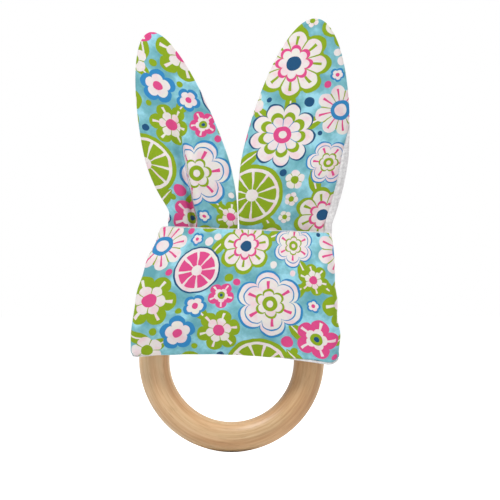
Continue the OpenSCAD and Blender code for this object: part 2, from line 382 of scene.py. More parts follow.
def band_creases(points, flat, from_edge):
    """How far forward the creases move each point of the band."""
    x, z = points[..., 0], points[..., 2]
    along, up = flat[..., 0], flat[..., 1]
    from_end = np.minimum(along - along.min(), along.max() - along)
    from_fold = from_end - RETURN_LEN - np.pi * FOLD_R / 2
    uneven = PUCKER.uneven * swell(along, up, PUCKER.uneven_size, PUCKER.seed)
    pucker = PUCKER.high * np.sin(along * 2 * np.pi / PUCKER.step + uneven)
    pucker = pucker * np.exp(-from_edge / PUCKER.reach)
    drag = DRAG.high * swell(along * DRAG.drawn, up, DRAG.size, DRAG.seed)
    drag = drag * np.exp(-np.abs(from_fold) / DRAG.reach)
    bulge = BULGE.high * swell(x, z, BULGE.size, BULGE.seed)
    bulge = bulge * ease(from_edge / BULGE.from_hem) * ease(from_fold / BULGE.from_fold)
    return (pucker + drag + bulge) * ease((from_fold + CREASE_FROM) / CREASE_IN)


# %% The band as one surface: return, fold, face, fold, return
# Points along the turned cloth, a fold and the face, and points from hem to hem
BAND_ROWS = dict(cotton=(24, 18, 120), terry=(40, 24, 180))
BAND_COLS = dict(cotton=90, terry=130)
# How strongly the points are crowded towards the hems
BAND_CROWD = 0.6
# Terry that shows above the cotton, and below it towards the left and the right corner
TOP_RIM = 0.4
LOW_RIM = (0.6, 0.95)
# Shares of the face's width: the left rim's reach, where the right one starts, and how long it rises
LOW_RIM_LEFT = 0.16
LOW_RIM_RIGHT, LOW_RIM_RISE = 0.66, 0.25


def low_rim(u):
    """Terry that shows below the cotton: towards both lower corners."""
    left_rim = LOW_RIM[0] * ease((LOW_RIM_LEFT - u) / LOW_RIM_LEFT)
    return left_rim + LOW_RIM[1] * ease((u - LOW_RIM_RIGHT) / LOW_RIM_RISE)


def band_cloth(kind):
    """Surface of one ply of the band. Cotton stops short of the rims, terry is tucked in elsewhere."""
    turned_rows, fold_rows, face_rows = BAND_ROWS[kind]
    cols = np.linspace(0, 1, BAND_COLS[kind])
    v = mix(cols, ease(cols), BAND_CROWD)[None, :]
    turned = np.linspace(0, 1, turned_rows)[:, None]
    bend = np.linspace(-np.pi / 2, np.pi / 2, fold_rows)[:, None]
    u = np.linspace(0, 1, face_rows)[:, None]

    def trim(at):
        return (TOP_RIM, low_rim(at)) if kind == "cotton" else (0, tucked(low_rim(at)))

    points = np.concatenate([
        band_side(-1, turned[::-1], v, trim(0))[:-1],
        band_fold(-1, bend[::-1], v, trim(0))[:-1],
        band_face(u, v, trim(u)),
        band_fold(1, bend, v, trim(1))[1:],
        band_side(1, turned, v, trim(1))[1:],
    ])
    steps = np.linalg.norm(np.diff(points[:, len(cols) // 2], axis=0), axis=1)
    along = np.concatenate([[0], np.cumsum(steps)])[:, None]
    flat = np.stack(np.broadcast_arrays(along, (1 - v) * BAND_H), axis=-1)
    from_edge = BAND_H * np.minimum(v, 1 - v) + 0 * along
    folded = len(along) - len(u)
    place = np.pad(u, ((folded // 2, folded // 2), (0, 0)), mode="edge")
    rim = np.where(v < 0.5, TOP_RIM, low_rim(place))
    normal = square_to(points)
    points = points - normal * band_creases(points, flat, from_edge)[..., None]
    return SimpleNamespace(points=points, normal=normal, flat=flat, from_edge=from_edge, rim=rim)


# %% The band's two plies
BAND_SEED = 1
cloth = band_cloth("cotton")
band_cotton = cotton_ply("front_band_cotton", cloth)
band_terry = terry_ply("front_band_terry", band_cloth("terry"), BAND_SEED)

# %% [markdown]
# ## The ears and their legs
# Behind the band each end of the strip goes down in front of the bar, through the ring, up behind the
# bar and on as an ear. It is one length of cloth, so it is one mesh here. The ear is leaf-shaped,
# cupped a little and curled back at its tip. The left ear is drawn in just above the band and pleated:
# its right part lies over its left part.

# %% Sizes of the two ears
EAR_Y = HINGE["left_ear"][1] - (TERRY_FACE - COTTON_FACE) / 2
# Where along its length an ear is widest, the power that rounds its sides, and half its tip's width
WIDE_AT = 0.3
TIP_POWER = 1.5
TIP_HALF = 0.9
HALF_T = (COTTON_FACE + TERRY_FACE) / 2
PLEAT_STEP = 2.8
# Half the angle between the two legs, in degrees round the ring
LEG_PART = 3
# Height above the bend at which the left ear's outline is drawn in most
WAIST_AT = 3.6

# base and widest are widths. The tip stands tilt to the right and curls back, and the crown stands
# forward. The leg lies between two angles, phi, and ends a bend below the ear. rim is the terry that
# shows at the right, fuller widens the left and right edges, waist draws the left one in, pleat is the
# fold's height, and away turns the right side back. cut and turn say how the print is cut.
left = SimpleNamespace(
    name="left", base=26.2, widest=31.6, length=70.5, tilt=-19.3, crown=3.2, curl=3,
    phi=(140, 90 + LEG_PART), bend=HALF_T + PLEAT_STEP / 2, rim=0, fuller=(0, 0.14), waist=1.7,
    pleat=PLEAT_STEP, away=0, cut=(12, 62), turn=-1, seed=11)
right = SimpleNamespace(
    name="right", base=34.9, widest=40.4, length=78, tilt=11.2, crown=4.2, curl=3,
    phi=(90 - LEG_PART, 32), bend=HALF_T, rim=3.0, fuller=(0.14, 0), waist=0,
    pleat=0, away=1.2, cut=(18, 54), turn=1, seed=23)
for ear in (left, right):
    ear.x, _, ear.z = HINGE[ear.name + "_ear"]
    print(f"{ear.name} ear: {ear.length} mm long, {ear.widest} mm wide, bends at z {ear.z:.1f} mm")

# %% Surface of an ear
# Share of the ear's length at which the rim has gone, and the length over which it fades
RIM_END, RIM_FADE = 0.55, 0.27


def ear_half(ear, t):
    """Half the width of an ear at a share t of its length."""
    rising = (ear.widest - (ear.widest - ear.base) * (1 - t / WIDE_AT) ** 2) / 2
    past = np.clip((t - WIDE_AT) / (1 - WIDE_AT), 0, 1)
    closing = np.maximum(TIP_HALF, ear.widest / 2 * np.sqrt(1 - past ** TIP_POWER))
    return np.where(t < WIDE_AT, rising, closing)


def ear_rim(ear, t):
    """Terry that shows beyond the cotton's right edge: widest at the base, gone halfway up."""
    return ear.rim * ease((RIM_END - t) / RIM_FADE)


def ear_points(ear, t, b, kind):
    """Points of an ear, their flat places, distances from the edge and shares of the width."""
    half = ear_half(ear, t)
    rim = ear_rim(ear, t)
    up = t * ear.length / WAIST_AT
    trim_left, trim_right = (0, rim) if kind == "cotton" else (TUCK, tucked(rim))
    trim_left = trim_left - ear.fuller[0] + ear.waist * up * np.exp(1 - up)
    trim_right = trim_right - ear.fuller[1]
    across = mix(np.minimum(trim_left - half, 0), np.maximum(half - trim_right, 0), b)
    share = (across + half) / (2 * half)
    cup = ear.crown * 4 * share * (1 - share) * ease(t / WIDE_AT) * (1 - t ** 2)
    x = ear.x + ear.tilt * t + across
    y = EAR_Y + ear.curl * t ** 2 - cup
    z = ear.z + ear.length * t
    points = np.stack(np.broadcast_arrays(x, y, z), axis=-1)
    flat = np.stack(np.broadcast_arrays(across + ear.cut[0], ear.length * t + ear.cut[1]), axis=-1)
    from_side = np.minimum(across + half - trim_left, half - trim_right - across)
    from_edge = np.minimum(np.maximum(from_side, 0), (1 - t) * ear.length)
    return points, flat, from_edge, share


# %% [markdown]
# The leg follows the bar in a circle from the front, through the eye and up behind, squeezed into a
# few soft gathers, and then spreads out to the ear. It could be draped round the bar, but a circle and
# one smooth curve give that run and keep the cloth clear of the wood.

# %% Surface of a leg: round the bar, then up to the ear
# Where the loop starts and ends, in degrees round the bar from its outermost line
LOOP_FROM, LOOP_TO = -60, -270
# How far the tail runs straight on at either end, in mm, and the number of gathers
TAIL_PULL = 9
GATHERS = 3


def leg_points(ear, theta, rise, b, flat_across):
    """Loop rows at angles theta round the bar, then tail rows at shares rise of the way to the ear."""
    phi = np.radians(mix(ear.phi[0], ear.phi[1], b))
    out = np.stack([np.cos(phi), 0 * phi, np.sin(phi)], axis=-1)
    back = np.array([0, 1, 0])
    angle = np.radians(theta)[:, None, None]
    loop = RING_R * out + LOOP_R * (np.cos(angle) * out + np.sin(angle) * back)
    x = ear.x + flat_across
    top = np.stack(np.broadcast_arrays(x, EAR_Y, ear.z - ear.bend - LAY_GAP), axis=-1)
    start = loop[-1:]
    t = rise[:, None, None]
    leave = start + TAIL_PULL * out
    arrive = top - TAIL_PULL * np.array([0, 0, 1])
    tail = (1 - t) ** 3 * start + 3 * (1 - t) ** 2 * t * leave
    tail = tail + 3 * (1 - t) * t ** 2 * arrive + t ** 3 * top
    return np.concatenate([loop, tail[1:]])


# %% [markdown]
# A pleat is cloth laid over itself. Here the right part steps forward along a slanting line, with a
# valley to the left of the step and a little fullness to its right, and the print skips what the fold
# takes in. Higher up it fades out. Three layers of cloth would be truer, but only the step shows.

# %% The pleat: a steep step with a valley beside it
# Height at which the pleat has gone, the print that it hides, its valley's depth and its fullness
PLEAT_LEN = 58
PLEAT_HIDES = 8
PLEAT_DEEP = 3.4
PLEAT_FULL = 1.0
# Share of the width at which the step lies, at the base and from a height up
PLEAT_LINE = (0.415, 0.54)
PLEAT_LINE_H = 40
# Width of the step at the base and where it has gone
PLEAT_RUN = (0.8, 2.8)
# Powers that hold the fold's shape longer and let the hidden print out sooner
PLEAT_HOLD, PLEAT_RELEASE = 1.5, 2
# Middle and width of the valley, as shares of the step's width, and what the width has besides in mm
VALLEY_AT, VALLEY_RUN, VALLEY_WIDE = 0.8, 1.2, 0.6
# Middle and width of the fullness in mm, each with the step's width added
FULL_AT, FULL_WIDE = 1.5, 3


def pleat(ear, t, share):
    """Backward shift of the cloth, and how much of the print the fold hides, at each point."""
    line = mix(*PLEAT_LINE, np.clip(t * ear.length / PLEAT_LINE_H, 0, 1))
    from_line = (share - line) * 2 * ear_half(ear, t)
    gone = ease(t * ear.length / PLEAT_LEN) ** PLEAT_HOLD
    run = mix(*PLEAT_RUN, gone)
    over = ease(from_line / run + 0.5)
    valley = (from_line + VALLEY_AT * run) / (VALLEY_RUN * run + VALLEY_WIDE)
    full = (from_line - FULL_AT - run) / (FULL_WIDE + run)
    sides = PLEAT_DEEP * np.exp(-valley ** 2) - PLEAT_FULL * np.exp(-full ** 2)
    step = (ear.pleat * (0.5 - over) + sides) * (1 - gone)
    return step, PLEAT_HIDES * over * (1 - gone) ** PLEAT_RELEASE


# %% One end of the strip, from the front of the bar to the tip of the ear
# Points along the loop, the tail and the ear, and points across
STRIP_ROWS = dict(cotton=(60, 50, 170), terry=(80, 65, 240))
STRIP_COLS = dict(cotton=90, terry=125)
# How strongly points are crowded towards the edges, and the power that crowds them towards the tip
STRIP_CROWD = 0.5
TIP_CROWD = 1.35


def strip_surface(ear, kind):
    """Smooth surface of a leg and its ear, before any fold."""
    loop_rows, tail_rows, ear_rows = STRIP_ROWS[kind]
    cols = np.linspace(0, 1, STRIP_COLS[kind])
    b = mix(cols, ease(cols), STRIP_CROWD)[None, :]
    theta = np.linspace(LOOP_FROM, LOOP_TO, loop_rows)
    rise = np.linspace(0, 1, tail_rows)
    t = 1 - np.linspace(1, 0, ear_rows)[:, None] ** TIP_CROWD
    leaf, leaf_flat, leaf_edge, share = ear_points(ear, t, b, kind)
    leg = leg_points(ear, theta, rise, share[0], leaf_flat[0, :, 0] - ear.cut[0])
    count = len(leg)
    middle = np.concatenate([leg, leaf[:1]])[:, len(cols) // 2]
    down = -np.cumsum(np.linalg.norm(np.diff(middle, axis=0), axis=1)[::-1])[::-1]
    leg_flat = np.stack(np.broadcast_arrays(leaf_flat[:1, :, 0], down[:, None] + ear.cut[1]), axis=-1)

    def with_leg(rows):
        return np.concatenate([np.repeat(rows[:1], count, axis=0), rows])

    tail = np.clip((np.arange(count + ear_rows) - loop_rows) / tail_rows, 0, 1)[:, None]
    return SimpleNamespace(
        points=np.concatenate([leg, leaf]), flat=np.concatenate([leg_flat, leaf_flat]),
        from_edge=with_leg(leaf_edge), share=with_leg(share), tail=tail, t=with_leg(t))


# %% Folds of an end
# Soft swells: height, size, how far they are drawn out lengthwise and how far from the edge they start
SOFT = SimpleNamespace(high=0.75, size=21, drawn=0.6, from_edge=6)
# How far the edge rolls back, how far in that reaches, and how far in a side that turns away does
ROLL_BACK, ROLL_REACH, AWAY_REACH = 1.1, 2.2, 7
# Share of the ear's length over which the roll comes in
ROLL_IN = 0.1


def strip_cloth(ear, kind):
    """Surface of one ply of an ear with its leg, with every fold in it."""
    cloth = strip_surface(ear, kind)
    cloth.normal = square_to(cloth.points)
    u, v = cloth.flat[..., 0], cloth.flat[..., 1]
    gathers = GATHER * (1 - np.cos(2 * np.pi * GATHERS * cloth.share)) / 2
    gathers = gathers * (1 - ease(2 * cloth.tail))
    soft = SOFT.high * swell(u, v * SOFT.drawn, SOFT.size, ear.seed)
    soft = soft * ease(cloth.from_edge / SOFT.from_edge) * cloth.tail
    cloth.points = cloth.points + cloth.normal * (gathers + soft)[..., None]
    from_right = (1 - cloth.share) * 2 * ear_half(ear, cloth.t)
    rolled = ROLL_BACK * np.exp(-cloth.from_edge / ROLL_REACH)
    rolled = rolled + ear.away * np.exp(-from_right / AWAY_REACH)
    rolled = rolled * ease(cloth.t / ROLL_IN) * (1 - cloth.t)
    step, hidden = pleat(ear, cloth.t, cloth.share) if ear.pleat else (0, 0)
    cloth.points[..., 1] += rolled + step * ease(cloth.tail)
    cloth.flat[..., 0] += hidden
    cloth.rim = np.where(cloth.share > 0.5, ear_rim(ear, cloth.t), 0)
    return cloth


# %% The four plies of the two ears


def make_ear(ear):
    cloth = strip_cloth(ear, "cotton")
    # The strip lies across in the band and stands up in the ears, so there its print is turned
    cloth.flat = ear.turn * np.stack([cloth.flat[..., 1], -cloth.flat[..., 0]], axis=-1)
    ear.cotton = cotton_ply(ear.name + "_end_cotton", cloth)
    cloth = strip_cloth(ear, "terry")
    ear.terry = terry_ply(ear.name + "_end_terry", cloth, ear.seed)
    u, v = cloth.flat[..., 0], cloth.flat[..., 1]
    ear.size = (np.ptp(u), np.ptp(v))
    ear.area = np.abs(np.diff(u, axis=1)[:-1] * np.diff(v, axis=0)[:, :-1]).sum()
    print(f"{ear.name} end cut from {ear.size[0]:.1f} x {ear.size[1]:.1f} mm, {ear.area:.0f} mm2")


make_ear(left)
make_ear(right)

# %% [markdown]
# ## Materials
# Every material is a small tree of nodes. Colours are written as they look on a screen and turned to
# linear light by one function. One other function adds a node, sets its options and fills its inputs
# with values or with the nodes that feed it.

# %% Colours and nodes
# Settings of a Mix node that lays one colour over another as a glaze
MULTIPLY = dict(data_type="RGBA", blend_type="MULTIPLY")


def paint(code):
    """Linear colour of an sRGB hex value."""
    parts = [int(code[i:i + 2], 16) / 255 for i in (1, 3, 5)]
    return [c / 12.92 if c <= 0.04045 else ((c + 0.055) / 1.055) ** 2.4 for c in parts] + [1]


def add(tree, kind, inputs=(), stops=(), **settings):
    """Adds a node. Inputs go in by place, or by name from a dict. A node means its first output.
    Stops are the places and hex colours of a colour ramp."""
    made = tree.nodes.new("ShaderNode" + kind)
    for key, value in settings.items():
        setattr(made, key, value)
    for k, (place, code) in enumerate(stops):
        elements = made.color_ramp.elements
        stop = elements[k] if k < len(elements) else elements.new(place)
        stop.position = place
        stop.color = paint(code)
    sockets = [s for s in made.inputs if s.enabled]
    pairs = inputs.items() if isinstance(inputs, dict) else enumerate(inputs)
    for key, value in pairs:
        socket = made.inputs[key] if isinstance(key, str) else sockets[key]
        if isinstance(value, bpy.types.Node):
            value = next(o for o in value.outputs if o.enabled)
        if isinstance(value, bpy.types.NodeSocket):
            tree.links.new(value, socket)
        elif value is not None:
            socket.default_value = value
    return made


def new_material(name):
    material = bpy.data.materials.new(name)
    material.use_nodes = True
    material.node_tree.nodes.clear()
    return material, material.node_tree


# %% [markdown]
# ## Beech, turned, sanded and oiled
# Beech is pale and even, with fine darker streaks along the bar and short dark ray flecks. Sanding
# leaves it smooth, and oil gives it a soft, broad shine. The ring's right side, away from the key lamp,
# is painted a little darker: painted shade. The streaks follow the bar round the ring. A noise on plain
# coordinates would cut across the bar, and one on the angle would have a seam where the angle starts
# again, so the noise runs on a circle: the direction from the centre is scaled by the streak's length
# and the distances across the bar by its width.

# %% Grain that follows the ring
# Length along the bar and width across it, in mm
HUE = (45, 6)
TINT = (34, 3.4)
STREAK = (18, 0.65)
FLECK = (4, 0.35)


def beech_noise(tree, spot, size, detail):
    """Noise whose spots are size[0] mm long round the ring and size[1] mm wide across the bar."""
    part = add(tree, "SeparateXYZ", [spot])
    level = add(tree, "CombineXYZ", [part.outputs[0], 0, part.outputs[2]])
    round_way = add(tree, "VectorMath", [level], operation="NORMALIZE")
    far = add(tree, "VectorMath", [level], operation="LENGTH")
    circle = add(tree, "VectorMath", [round_way, RING_R / size[0]], operation="SCALE")
    turned = add(tree, "SeparateXYZ", [circle])
    outward = add(tree, "Math", [far.outputs["Value"], MM * size[1]], operation="DIVIDE")
    deep = add(tree, "Math", [part.outputs[1], MM * size[1]], operation="DIVIDE")
    vector = add(tree, "CombineXYZ", [turned.outputs[0], outward, turned.outputs[2]])
    noise = {"Vector": vector, "W": deep, "Scale": 1, "Detail": detail, "Roughness": 0.55}
    return add(tree, "TexNoise", noise, noise_dimensions="4D")


# %% Beech
GRAIN_STOPS = [(0.34, "#BC946A"), (0.46, "#D0AF88"), (0.56, "#DCC19C"), (0.68, "#E6D1B2")]
HUE_STOPS = [(0.36, "#F8F3E8"), (0.64, "#FFEDDC")]
# How much of the grain is streaks, the rest being broader tints
STREAK_SHARE = 0.45
# The side of the ring that is painted darker, away from the key lamp, and the tone of that painted shade
SHADED_SIDE_WAY = (1, 0, 0.25)
SHADED_SIDE_TONE = "#E7DACB"
# Noise levels at which a fleck starts and is full, how strong it is then, and its colour
FLECK_FROM, FLECK_TO, FLECK_DARK = 0.6, 0.72, 0.3
FLECK_BROWN = "#99703F"
# Oiled wood is half matt, and a little rougher in the pale grain than in the streaks: noise levels of
# the streaks, and the roughness that they get
STREAK_LEVELS, STREAK_ROUGH = (0.3, 0.7), (0.38, 0.52)


def make_beech():
    material, tree = new_material("beech_turned_sanded_and_oiled")
    spot = add(tree, "TexCoord").outputs["Object"]
    tint = beech_noise(tree, spot, TINT, detail=2)
    streak = beech_noise(tree, spot, STREAK, detail=3)
    fleck = beech_noise(tree, spot, FLECK, detail=1)
    grain = add(tree, "Mix", [STREAK_SHARE, tint, streak], data_type="FLOAT")
    wood = add(tree, "ValToRGB", [grain], stops=GRAIN_STOPS)
    hue = add(tree, "ValToRGB", [beech_noise(tree, spot, HUE, detail=1)], stops=HUE_STOPS)
    wood = add(tree, "Mix", [1, wood, hue], **MULTIPLY)
    # Painted shade: the wood darkens towards the ring's right side, the side away from the key lamp
    shaded_side = add(tree, "VectorMath", [spot, SHADED_SIDE_WAY], operation="DOT_PRODUCT").outputs["Value"]
    shaded_side = add(tree, "MapRange", [shaded_side, 0, MM * RING_R, 0, 1])
    painted_shade = add(tree, "Mix", [1, wood, paint(SHADED_SIDE_TONE)], **MULTIPLY)
    wood = add(tree, "Mix", [shaded_side, wood, painted_shade], data_type="RGBA")
    dark = add(tree, "MapRange", [fleck, FLECK_FROM, FLECK_TO, 0, FLECK_DARK])
    flecked = add(tree, "Mix", [dark, wood, paint(FLECK_BROWN)], data_type="RGBA")
    rough = add(tree, "MapRange", [streak, *STREAK_LEVELS, *STREAK_ROUGH])
    ridges = add(tree, "Bump", {"Strength": 0.12, "Distance": 0.2 * MM, "Height": streak})
    surface = add(tree, "BsdfPrincipled", {
        "Base Color": flecked, "Roughness": rough, "Normal": ridges, "Coat Weight": 0.2,
        "Coat Roughness": 0.32})
    add(tree, "OutputMaterial", [surface])
    print(material.name, len(tree.nodes), "nodes")
    return material


ring = frame["nodes"]["wooden_ring"]
ring.data.materials.clear()
ring.data.materials.append(make_beech())

# %% [markdown]
# ## Printed cotton
# The front is plain-woven cotton with a crowded print on an aqua ground: large, middling and small
# blossoms, citrus slices, leaves and dots in white, lime, rose and blue. A print is a repeat. Here its
# motifs are scattered on a square that joins up with itself and pushed apart until none touch. Leaves
# are tucked under the blossoms, and dots and small flowers fill the largest gaps that are left.
# Drawing a picture in another program would do as well, but it would blur close up.

# %% Colours and motifs of the print
AQUA, TEAL, SKY = "#7CBAC5", "#64A5B0", "#9ED9E9"
BLUSH, BLUSH_PINK, BLUSH_CREAM = "#EAE0E0", "#ECD0D5", "#E8E5DA"
LIME, ROSE, BLUE, NAVY = "#89A61A", "#DC4A88", "#3186BF", "#1B4F78"
PALE = "blush"

# Each motif is layers from the outside in: the shape, its radius as a share of the motif's, its colour
daisy_lime = [
    ("petals", 1, LIME), ("petals", 0.86, PALE), ("between", 0.8, LIME), ("strokes", 0.74, LIME),
    ("petals", 0.5, ROSE), ("petals", 0.41, PALE), ("disc", 0.2, NAVY)]
daisy_blue = [
    ("petals", 1, BLUE), ("petals", 0.93, PALE), ("petals", 0.8, BLUE), ("petals", 0.76, PALE),
    ("strokes", 0.68, ROSE), ("petals", 0.44, LIME), ("petals", 0.37, PALE), ("disc", 0.22, LIME),
    ("disc", 0.1, PALE)]
daisy_navy = [
    ("petals", 1, NAVY), ("petals", 0.94, PALE), ("petals", 0.7, LIME), ("petals", 0.56, PALE),
    ("between", 0.5, BLUE), ("disc", 0.26, ROSE), ("disc", 0.12, PALE)]
blossom_rose = [
    ("petals", 1, ROSE), ("strokes", 0.88, PALE), ("petals", 0.54, PALE), ("disc", 0.3, LIME),
    ("disc", 0.13, NAVY)]
blossom_lime = [
    ("petals", 1, LIME), ("strokes", 0.86, PALE), ("petals", 0.58, PALE), ("between", 0.5, LIME),
    ("disc", 0.26, ROSE)]
blossom_pale = [
    ("petals", 1, PALE), ("strokes", 0.86, ROSE), ("between", 0.8, LIME), ("disc", 0.4, BLUE),
    ("disc", 0.24, PALE)]
slice_lime = [("disc", 1, LIME), ("disc", 0.87, PALE), ("wedges", 0.77, LIME), ("disc", 0.2, PALE)]
slice_rose = [("disc", 1, NAVY), ("disc", 0.93, PALE), ("wedges", 0.78, ROSE), ("disc", 0.22, PALE)]
small_blue = [("petals", 1, BLUE), ("petals", 0.7, PALE), ("disc", 0.26, ROSE)]
small_pale = [("petals", 1, PALE), ("between", 0.8, LIME), ("disc", 0.4, LIME)]
# Radius in mm, number of petals or wedges, layers
MOTIFS = [
    (14, 8, daisy_lime), (13, 6, daisy_blue), (12.5, 9, daisy_navy), (11.5, 10, slice_lime),
    (11, 7, daisy_lime), (10, 6, blossom_lime), (9.5, 8, blossom_pale), (9, 8, slice_rose),
    (8.5, 6, daisy_blue), (8, 6, blossom_lime), (7.5, 5, blossom_rose), (6.5, 5, small_blue),
    (6, 6, blossom_lime), (5.5, 5, small_pale), (5, 5, blossom_rose), (4.5, 5, small_blue)]

# %% Scattering motifs on a repeat
# Side of the repeat, and the gap kept between motifs, in mm
REPEAT = 74
CLEAR = 0.5
# Rounds of pushing motifs apart, and the share of an overlap that one round takes away
PUSHES = 3000
PUSH = 0.2
# Added to every distance, so that a motif's distance from itself isn't zero
TINY = 1e-6


def gap_vector(a, b):
    """Shortest way from b to a on a repeat that joins up with itself."""
    way = a - b
    return way - REPEAT * np.round(way / REPEAT)


def scatter(radii, draw):
    """Places for motifs of these radii, pushed apart until none touch."""
    spots = draw.uniform(0, REPEAT, (len(radii), 2))
    reach = radii[:, None] + radii[None, :] + CLEAR
    np.fill_diagonal(reach, 0)
    for _ in range(PUSHES):
        way = gap_vector(spots[:, None], spots[None, :])
        far = np.linalg.norm(way, axis=2) + TINY
        over = np.clip(reach - far, 0, None)[..., None]
        spots = spots + PUSH * (over * way / far[..., None]).sum(axis=1)
    return spots % REPEAT


# %% Layout of the print's repeat
LEAVES = 14
LEAF_HALF = 5.5
# How far a leaf's middle stands out from the motif it is tucked under, as a share of its half length
LEAF_OUT = 0.4
# Fillers: how many, places tried for each, the largest radius, and a flower's least radius and petals
FILLERS = 24
FILLER_TRIES = 1500
FILLER_R = 3.6
FLOWER_R = 2.4
FLOWER_PETALS = 5
PRINT_SEED = 7


def lay_out(seed):
    """Leaves and motifs of one repeat in the order in which they are drawn."""
    draw = np.random.default_rng(seed)
    radii = np.array([motif[0] for motif in MOTIFS])
    spots = scatter(radii, draw)
    leaves, placed = [], []
    for spot, motif in zip(spots, MOTIFS):
        placed.append((spot, draw.uniform(0, 2 * np.pi), motif))
    for k in range(LEAVES):
        turn = draw.uniform(0, 2 * np.pi)
        away = radii[k] + LEAF_OUT * LEAF_HALF
        leaves.append((spots[k] + away * np.array([np.cos(turn), np.sin(turn)]), turn))
    taken = [(spot, motif[0]) for spot, _, motif in placed]
    taken = taken + [(spot, LEAF_OUT * LEAF_HALF) for spot, _ in leaves]
    flowers = [small_pale, small_blue]
    dots = [[("disc", 1, code)] for code in (PALE, ROSE, LIME, NAVY)]
    for k in range(FILLERS):
        tries = draw.uniform(0, REPEAT, (FILLER_TRIES, 2))
        room = np.min([np.linalg.norm(gap_vector(tries, s), axis=1) - r for s, r in taken], axis=0)
        spot, radius = tries[room.argmax()], min(room.max() - CLEAR, FILLER_R)
        kinds = flowers if radius > FLOWER_R else dots
        placed.append((spot, k, (radius, FLOWER_PETALS, kinds[k % len(kinds)])))
        taken.append((spot, radius))
    return leaves, placed


leaves, motifs = lay_out(PRINT_SEED)
print(f"print repeat of {REPEAT} mm: {len(motifs)} motifs, {len(leaves)} leaves")

# %% [markdown]
# Every motif is drawn from the flat places of the cloth, as layers that are each a test on the distance
# and the angle from its middle. A petal edge is a wave round the circle, a wedge is left out where that
# wave is low, a stroke is drawn only where it is highest and a line between petals where it is lowest.

# %% Drawing a motif
# How much shorter a petal's reach is at its sides than at its tip, and a low power that makes it blunt
PETAL_NOTCH = 0.3
PETAL_BLUNT = 0.55
# Where a layer has gaps: the test on the wave, and its limit
LAYER_GAPS = {
    "wedges": ("LESS_THAN", 0.3),
    "strokes": ("LESS_THAN", 0.975),
    "between": ("GREATER_THAN", 0.13),
}


def from_middle(tree, spot, middle):
    """Way from a motif's middle, on the repeat."""
    half = REPEAT / 2
    way = add(tree, "VectorMath", [spot, (*middle, 0)], operation="SUBTRACT")
    return add(tree, "VectorMath", [way, (half, half, half), (-half, -half, -half)], operation="WRAP")


def draw_motif(tree, colour, spot, placed, pale):
    """Lays one motif's layers over a colour. Spot is the flat place on the cloth in mm."""
    middle, turn, (radius, count, layers) = placed
    way = from_middle(tree, spot, middle)
    far = add(tree, "VectorMath", [way], operation="LENGTH").outputs["Value"]
    reach = {"disc": far}
    kinds = {layer[0] for layer in layers}
    if kinds != {"disc"}:
        part = add(tree, "SeparateXYZ", [way])
        angle = add(tree, "Math", [part.outputs[1], part.outputs[0]], operation="ARCTAN2")
        wave = add(tree, "Math", [angle, count / 2, turn], operation="MULTIPLY_ADD")
        wave = add(tree, "Math", [wave], operation="COSINE")
        lobe = add(tree, "Math", [wave], operation="ABSOLUTE")
    if "petals" in kinds:
        full = add(tree, "Math", [lobe, PETAL_BLUNT], operation="POWER")
        shape = add(tree, "Math", [full, PETAL_NOTCH, 1 - PETAL_NOTCH], operation="MULTIPLY_ADD")
        reach["petals"] = add(tree, "Math", [far, shape], operation="DIVIDE")
    for kind, (test, limit) in LAYER_GAPS.items():
        if kind in kinds:
            out = add(tree, "Math", [lobe, limit], operation=test)
            reach[kind] = add(tree, "Math", [out, radius, far], operation="MULTIPLY_ADD")
    for kind, share, code in layers:
        inside = add(tree, "Math", [reach[kind], share * radius], operation="LESS_THAN")
        ink = pale if code == PALE else paint(code)
        colour = add(tree, "Mix", [inside, colour, ink], data_type="RGBA")
    return colour


# %% Drawing a leaf
# A leaf's width as a share of its length, and how much of that the leaf and its vein take
LEAF_WIDE = 0.42
LEAF_LAYERS = ((1, LIME), (0.14, BLUSH))


def draw_leaf(tree, colour, spot, placed):
    """A pointed leaf with a paler vein."""
    middle, turn = placed
    way = from_middle(tree, spot, middle)
    way = add(tree, "VectorRotate", {"Vector": way, "Angle": -turn}, rotation_type="Z_AXIS")
    part = add(tree, "SeparateXYZ", [way])
    square = add(tree, "Math", [part.outputs[0], part.outputs[0]], operation="MULTIPLY")
    bow = [square, -LEAF_WIDE / LEAF_HALF, LEAF_WIDE * LEAF_HALF]
    bow = add(tree, "Math", bow, operation="MULTIPLY_ADD")
    beside = add(tree, "Math", [part.outputs[1]], operation="ABSOLUTE")
    for share, code in LEAF_LAYERS:
        edge = add(tree, "Math", [bow, share], operation="MULTIPLY")
        inside = add(tree, "Math", [beside, edge], operation="LESS_THAN")
        colour = add(tree, "Mix", [inside, colour, paint(code)], data_type="RGBA")
    return colour


# %% [markdown]
# The inks are a little uneven, as if brushed: the aqua wanders between teal and sky blue, the white
# between pink and cream, and every outline wobbles by a fraction of a millimetre. The plain weave's
# threads are about 0.3 mm. They are drawn 0.9 mm wide so that they don't turn into a false pattern.

# %% Cotton
WEAVE = 0.9
# How far an outline wobbles, and the size of the wobbles, of the washes and of the brush marks
WOBBLE, WOBBLE_SIZE = 0.8, 4
WASH_SIZE = 9
BRUSH_SIZE = 5
WASH_STOPS = [(0.37, TEAL), (0.5, AQUA), (0.63, SKY)]
BRUSH_STOPS = [(0.34, BLUSH_PINK), (0.5, BLUSH), (0.68, BLUSH_CREAM)]
# Brightness in the gaps between threads and on top of them
WEAVE_SHADE = (0.985, 1.01)


